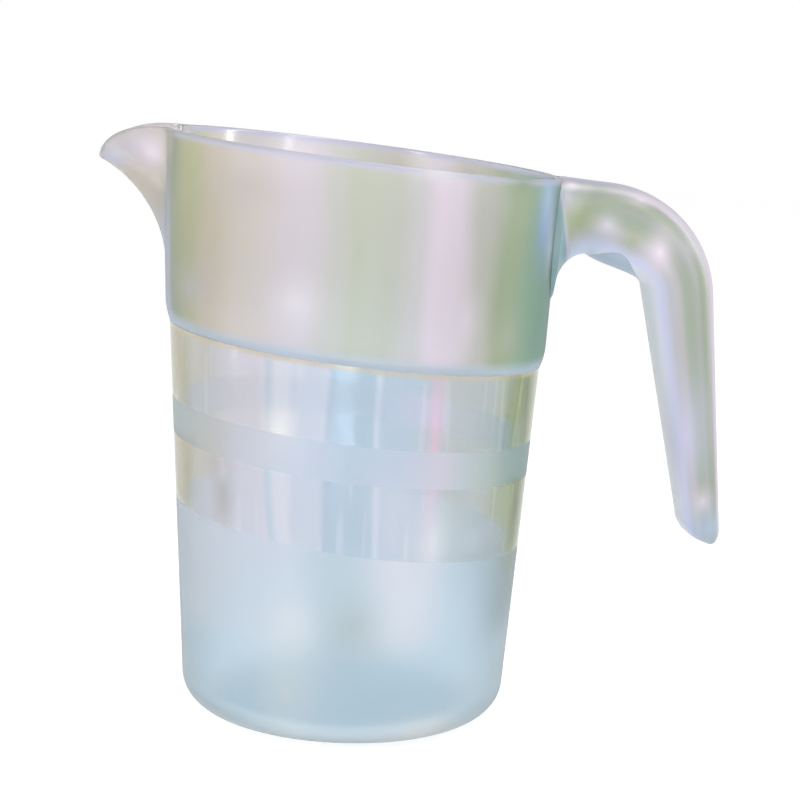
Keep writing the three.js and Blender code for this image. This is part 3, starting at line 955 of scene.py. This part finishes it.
def seam_turn(row):
    """Half of the section's turn that the cover takes at a row; it widens to a lens."""
    along = min(max((row - COVER_START) / (LENS_END - COVER_START), 0), 1)
    return COVER_TURN + (LENS_TURN - COVER_TURN) * sin(pi * along**LENS_SKEW) ** 2


def section_turn(vertex, row):
    """Turn of a point round its section from the inner side, with the seam's column moved."""
    turn = atan2(vertex.co.y, -vertex.co.x)
    size = abs(turn)
    if size < COVER_TURN:
        size *= seam_turn(row) / COVER_TURN
    else:
        size = pi - (pi - size) * (pi - seam_turn(row)) / (pi - COVER_TURN)
    return size if turn > 0 else -size


handle_place = shell.data.attributes.new("handle_place", "FLOAT_VECTOR", "POINT")
for i, vertex in enumerate(shell.data.vertices):
    row = round(vertex.co.z * last_row)
    inner, back, half_width = sections[row]
    turn = section_turn(vertex, row)
    depth = -swollen(cos(turn))
    place = (inner + back) / 2 + (back - inner) / 2 * depth
    place.y = -half_width * swollen(sin(turn))
    if row == 0:
        wall = collar_radius + collar_slope * place.z + ROOT_GAP
        rim_rise = place.z + SLANT * place.x - (RIM_HEIGHT - RIM_ROUND)
        wall -= RIM_ROUND - sqrt(RIM_ROUND**2 - min(max(rim_rise, 0), RIM_ROUND) ** 2)
        place.x = sqrt(wall**2 - place.y**2)
    vertex.co = place
    handle_place.data[i].vector = ((1 + depth) / 2, row / last_row, 0)
edit(shell, "FACE")
bpy.ops.mesh.select_all(action="DESELECT")
done()
for face, is_cover in zip(shell.data.polygons, cover_faces):
    face.select = is_cover
bpy.ops.object.mode_set(mode="EDIT")
bpy.ops.mesh.separate(type="SELECTED")
done()
cover = next(o for o in bpy.context.selected_objects if o is not shell)
cover.name = "handle_strip"
tip_height = min(v.co.z for v in shell.data.vertices) + FOOT_TIP * FOOT_LENGTH
pick_edges(shell, lambda a, b: max(a.z, b.z) < tip_height)
bpy.ops.mesh.merge(type="CENTER")
done()
shell_skin = len(shell.data.polygons)  # the wall's inner and side faces come after the skin's
thicken(shell, HANDLE_WALL)
edit(shell)
bpy.ops.mesh.remove_doubles(threshold=MERGE_REACH)
done()
bpy.ops.object.shade_smooth_by_angle(angle=HANDLE_SMOOTH_ANGLE)

# Blasted polycarbonate of the handle, moulded as the collar's is and milkier to the eye: its bands
# of colour, painted reflections, highlights and shade, run along the arm and the grip, cool bands
# of painted reflection and shade cross its root at the collar, and the lens under the bend carries
# a paler blue, a painted reflection of the floor.
ARM_TINT_END = 0.14  # along the handle, where the arm's bands begin to turn to the grip's
GRIP_TINT_START = 0.26
ROOT_BAND_LEAN = (1, 0, 0.17)  # from the axis out along the arm, and a little up
ROOT_BAND_START = 86 * MM  # along that way
ROOT_BAND_END = 93 * MM
HANDLE_CLARITY = 0.25
HANDLE_ROUGHNESS = 0.36
handle_blasted = new_material("blasted_handle_polycarbonate")
coords = add_node(handle_blasted, "ShaderNodeTexCoord")
place = add_node(handle_blasted, "ShaderNodeAttribute", attribute_name="handle_place")
split = add_node(handle_blasted, "ShaderNodeSeparateXYZ", {0: place.outputs["Vector"]})
# bands from the finger side to the back: painted reflections, painted shade and a painted highlight
# line near the back edge
grip_bands = add_node(
    handle_blasted,
    "ShaderNodeValToRGB",
    {"Fac": split.outputs["X"]},
    stops=(
        (0.0, "#F4F8FF"),
        (0.12, "#F0F4FF"),
        (0.2, "#D8DCFA"),
        (0.34, "#BEBEC6"),
        (0.46, "#B9B8B8"),
        (0.54, "#A2AE9E"),
        (0.64, "#A2AE9E"),
        (0.71, "#A8ACA8"),
        (0.75, "#A0A89C"),
        (0.79, "#96A28E"),
        (0.83, "#96A28E"),
        (0.88, "#9A9A98"),
        (0.93, "#C2BAC6"),
        (0.96, "#C0B8C4"),
        (1.0, "#9C94A8"),
    ),
)
# bands of the arm from the finger side to the top: painted reflections and painted shade
arm_bands = add_node(
    handle_blasted,
    "ShaderNodeValToRGB",
    {"Fac": split.outputs["X"]},
    stops=(
        (0.0, "#C8DAFA"),
        (0.2, "#C0CCE0"),
        (0.35, "#B8BABE"),
        (0.5, "#A8B29A"),
        (0.75, "#AAB49E"),
        (0.86, "#9CA49A"),
        (0.94, "#A6A6A8"),
        (1.0, "#9C98B0"),
    ),
)
downwards = add_node(
    handle_blasted,
    "ShaderNodeMapRange",
    {"Value": split.outputs["Y"], "From Min": ARM_TINT_END, "From Max": GRIP_TINT_START},
    interpolation_type="SMOOTHSTEP",
)
bands = add_node(
    handle_blasted,
    "ShaderNodeMix",
    {"Factor": downwards.outputs[0], "A": arm_bands.outputs[0], "B": grip_bands.outputs[0]},
    data_type="RGBA",
)
root = fade_along(handle_blasted, coords, ROOT_BAND_LEAN, ROOT_BAND_START, ROOT_BAND_END)
root_share = add_node(
    handle_blasted,
    "ShaderNodeValToRGB",
    {"Fac": root},
    stops=((0.0, "#FFFFFF"), (0.45, "#FFFFFF"), (0.75, "#000000")),
)
# painted blue reflection and teal painted shade where the root meets the collar
root_bands = add_node(
    handle_blasted,
    "ShaderNodeValToRGB",
    {"Fac": root},
    stops=((0.0, "#8CAEB4"), (0.3, "#86A6AE"), (0.45, "#BEC0D0"), (0.75, "#B8B8C2")),
)
tints = add_node(
    handle_blasted,
    "ShaderNodeMix",
    {"Factor": root_share.outputs[0], "A": bands.outputs["Result"], "B": root_bands.outputs[0]},
    data_type="RGBA",
).outputs["Result"]
# painted light on the handle: olive and darker spots of painted shade, and pale spots of painted
# highlight on the arm, the bend and the foot
HANDLE_PAINTED_LIGHT = (
    ((66.2, -12.1, 160.2), (9, 9, 9), "#A4B086"),
    ((83.6, -11.5, 153.8), (7, 7, 7), "#A6B290"),
    ((75.6, -11.5, 158.1), (7, 7, 7), "#DAD6E4"),
    ((92.4, -11.5, 150.6), (9, 9, 13), "#F8E8FA"),
    ((64.5, -9.5, 170.4), (4, 5, 2.6), "#F6E6F4"),
    ((81, -8, 168.6), (9, 6, 3.4), "#9C9AA4"),
    ((62.8, -12.2, 166.5), (6, 6, 9), "#C4C2D0"),
    ((86, -8.5, 166), (9, 5, 4), "#CCC2CA"),
    ((73, -8.4, 168.5), (10, 6, 4), "#949C92"),
    ((101, -10, 152), (10, 8, 12), "#B2B2B6"),
    ((104, -10, 92), (14, 14, 34), "#D0D0EC"),
    ((113, -6, 63), (14, 16, 14), "#B4C8E6"),
    ((111.5, -8.7, 72), (6, 6, 8), "#E2D8E8"),
)
tints = add_spots(handle_blasted, coords, tints, HANDLE_PAINTED_LIGHT)
# painted reflection of the floor: the lens under the bend is tinted a paler blue
tints = lay_over(handle_blasted, tints, (split.outputs["Z"], "#B8CADE"))
handle_surface = blast(handle_blasted, coords, HANDLE_ROUGHNESS)
plastic(handle_blasted, HANDLE_CLARITY, {"Base Color": tints, **handle_surface})


def finish_skin(piece, skin_faces):
    """Blasts the first faces of a piece, its outer skin, and leaves those of its wall glossy."""
    finish_faces(piece, [handle_blasted, gloss], lambda face: 0 if face.index < skin_faces else 1)


finish_skin(shell, shell_skin)
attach(shell, "root")
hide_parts("handle_shell")

# Handle cover
# The strip that closes the handle's hollow on the finger side, moulded in polycarbonate and
# bonded into the shell's edge. It bulges under the bend.
SEAM_GAP = 0.05 * MM  # bond line round the strip
# the lens's paler blue is a painted reflection of the floor
LENS_TINT_END = 1.1  # of the lens's length: it is cooler, and the strip below it isn't
LENS_TINT_FADE = 0.4
edit(cover, "FACE")
bpy.ops.mesh.inset(thickness=SEAM_GAP, use_boundary=True, use_even_offset=True)
bpy.ops.mesh.select_all(action="INVERT")
bpy.ops.mesh.delete(type="FACE")
done()
cover_place = cover.data.attributes["handle_place"]
for point in cover_place.data:
    along = (point.vector.y * last_row - COVER_START) / (LENS_END - COVER_START)
    point.vector.z = min(max((LENS_TINT_END - along) / LENS_TINT_FADE, 0), 1)
cover_skin = len(cover.data.polygons)
thicken(cover, HANDLE_WALL)
bpy.ops.object.shade_smooth_by_angle(angle=HANDLE_SMOOTH_ANGLE)
finish_skin(cover, cover_skin)
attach(cover, "root")
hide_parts("handle_cover")

# Studio
# A white paper floor and background, soft lamps above, in front and to both sides, and a camera
# a little above the rim. Lamps and floor are in metres and watts.
FLOOR_SIZE = 6.0
FLOOR_DROP = 0.2 * MM  # below the base
PAPER_GLOW = 0.72
SKY_GLOW = 0.6
WHITE_GLOW = 1.0  # of what the camera, mirrors and clear plastic see
bpy.ops.object.select_all(action="DESELECT")
bpy.ops.mesh.primitive_plane_add(size=FLOOR_SIZE, location=(0, 0, -FLOOR_DROP))
floor = bpy.context.object
floor.name = "studio_floor"
paper = new_material("white_paper")
paper_shade = add_node(paper, "ShaderNodeBsdfDiffuse", {"Color": linear("#B4B4B4")})
paper_glow = add_node(
    paper, "ShaderNodeEmission", {"Color": linear("#FFFFFF"), "Strength": PAPER_GLOW}
)
paper_sum = add_node(
    paper, "ShaderNodeAddShader", {0: paper_shade.outputs[0], 1: paper_glow.outputs[0]}
)
paper_white = add_node(
    paper, "ShaderNodeEmission", {"Color": linear("#FFFFFF"), "Strength": WHITE_GLOW}
)
rays = add_node(paper, "ShaderNodeLightPath")
mirrored = add_node(
    paper,
    "ShaderNodeMath",
    {0: rays.outputs["Is Glossy Ray"], 1: rays.outputs["Is Transmission Ray"]},
    operation="MAXIMUM",
)
paper_seen = add_node(
    paper,
    "ShaderNodeMixShader",
    {0: mirrored.outputs[0], 1: paper_sum.outputs[0], 2: paper_white.outputs[0]},
)
add_node(paper, "ShaderNodeOutputMaterial", {"Surface": paper_seen.outputs[0]})
finish_faces(floor, [paper], lambda face: 0)

world = bpy.data.worlds.new("studio")
bpy.context.scene.world = world
world.use_nodes = True
world.node_tree.nodes.clear()
rays = add_node(world, "ShaderNodeLightPath")
seen = add_node(
    world,
    "ShaderNodeMath",
    {0: rays.outputs["Is Camera Ray"], 1: rays.outputs["Is Glossy Ray"]},
    operation="MAXIMUM",
)
seen = add_node(
    world,
    "ShaderNodeMath",
    {0: seen.outputs[0], 1: rays.outputs["Is Transmission Ray"]},
    operation="MAXIMUM",
)
dim = add_node(
    world, "ShaderNodeBackground", {"Color": linear("#FFFFFF"), "Strength": SKY_GLOW}
)
white = add_node(
    world, "ShaderNodeBackground", {"Color": linear("#FFFFFF"), "Strength": WHITE_GLOW}
)
mixed = add_node(
    world, "ShaderNodeMixShader", {0: seen.outputs[0], 1: dim.outputs[0], 2: white.outputs[0]}
)
add_node(world, "ShaderNodeOutputWorld", {"Surface": mixed.outputs[0]})

LAMP_AIM = Vector((0, 0, 100 * MM))
LAMPS = (  # name, place, width, height and power
    ("top", (0.3, 0.12, 0.9), 0.4, 0.3, 2.2),
    ("right_strip", (0.6, 0.05, 0.35), 0.06, 0.6, 1.6),
    ("left_strip", (-0.19, -0.25, 0.32), 0.05, 0.4, 0.45),
    ("near_strip", (0.25, -0.2, 0.32), 0.04, 0.4, 0.28),
    ("front", (0.09, -0.85, 0.06), 0.2, 0.1, 0.6),
)
for name, spot, width, height, power in LAMPS:
    light = bpy.data.lights.new(name, "AREA")
    light.shape = "RECTANGLE"
    light.size = width
    light.size_y = height
    light.energy = power
    lamp = bpy.data.objects.new(name, light)
    lamp.location = spot
    lamp.rotation_euler = (LAMP_AIM - Vector(spot)).to_track_quat("-Z", "Y").to_euler()
    bpy.context.scene.collection.objects.link(lamp)

EYE = Vector((-2.147, -624.497, 205.959)) * MM  # place of the camera
GAZE = Vector((0.02653661, 0.9853202, -0.16864138))  # its direction
ROLL = radians(2.634)
SENSOR_WIDTH = 36  # millimetres, as the camera takes it
FOCAL_LENGTH = 89.935
camera = bpy.data.cameras.new("camera")
camera.sensor_width = SENSOR_WIDTH
camera.lens = FOCAL_LENGTH
camera_object = bpy.data.objects.new("camera", camera)
camera_object.location = EYE
camera_object.rotation_mode = "QUATERNION"
camera_object.rotation_quaternion = GAZE.to_track_quat("-Z", "Y") @ Quaternion((0, 0, 1), ROLL)
bpy.context.scene.collection.objects.link(camera_object)
bpy.context.scene.camera = camera_object

view = bpy.context.scene.view_settings
view.view_transform = "Standard"
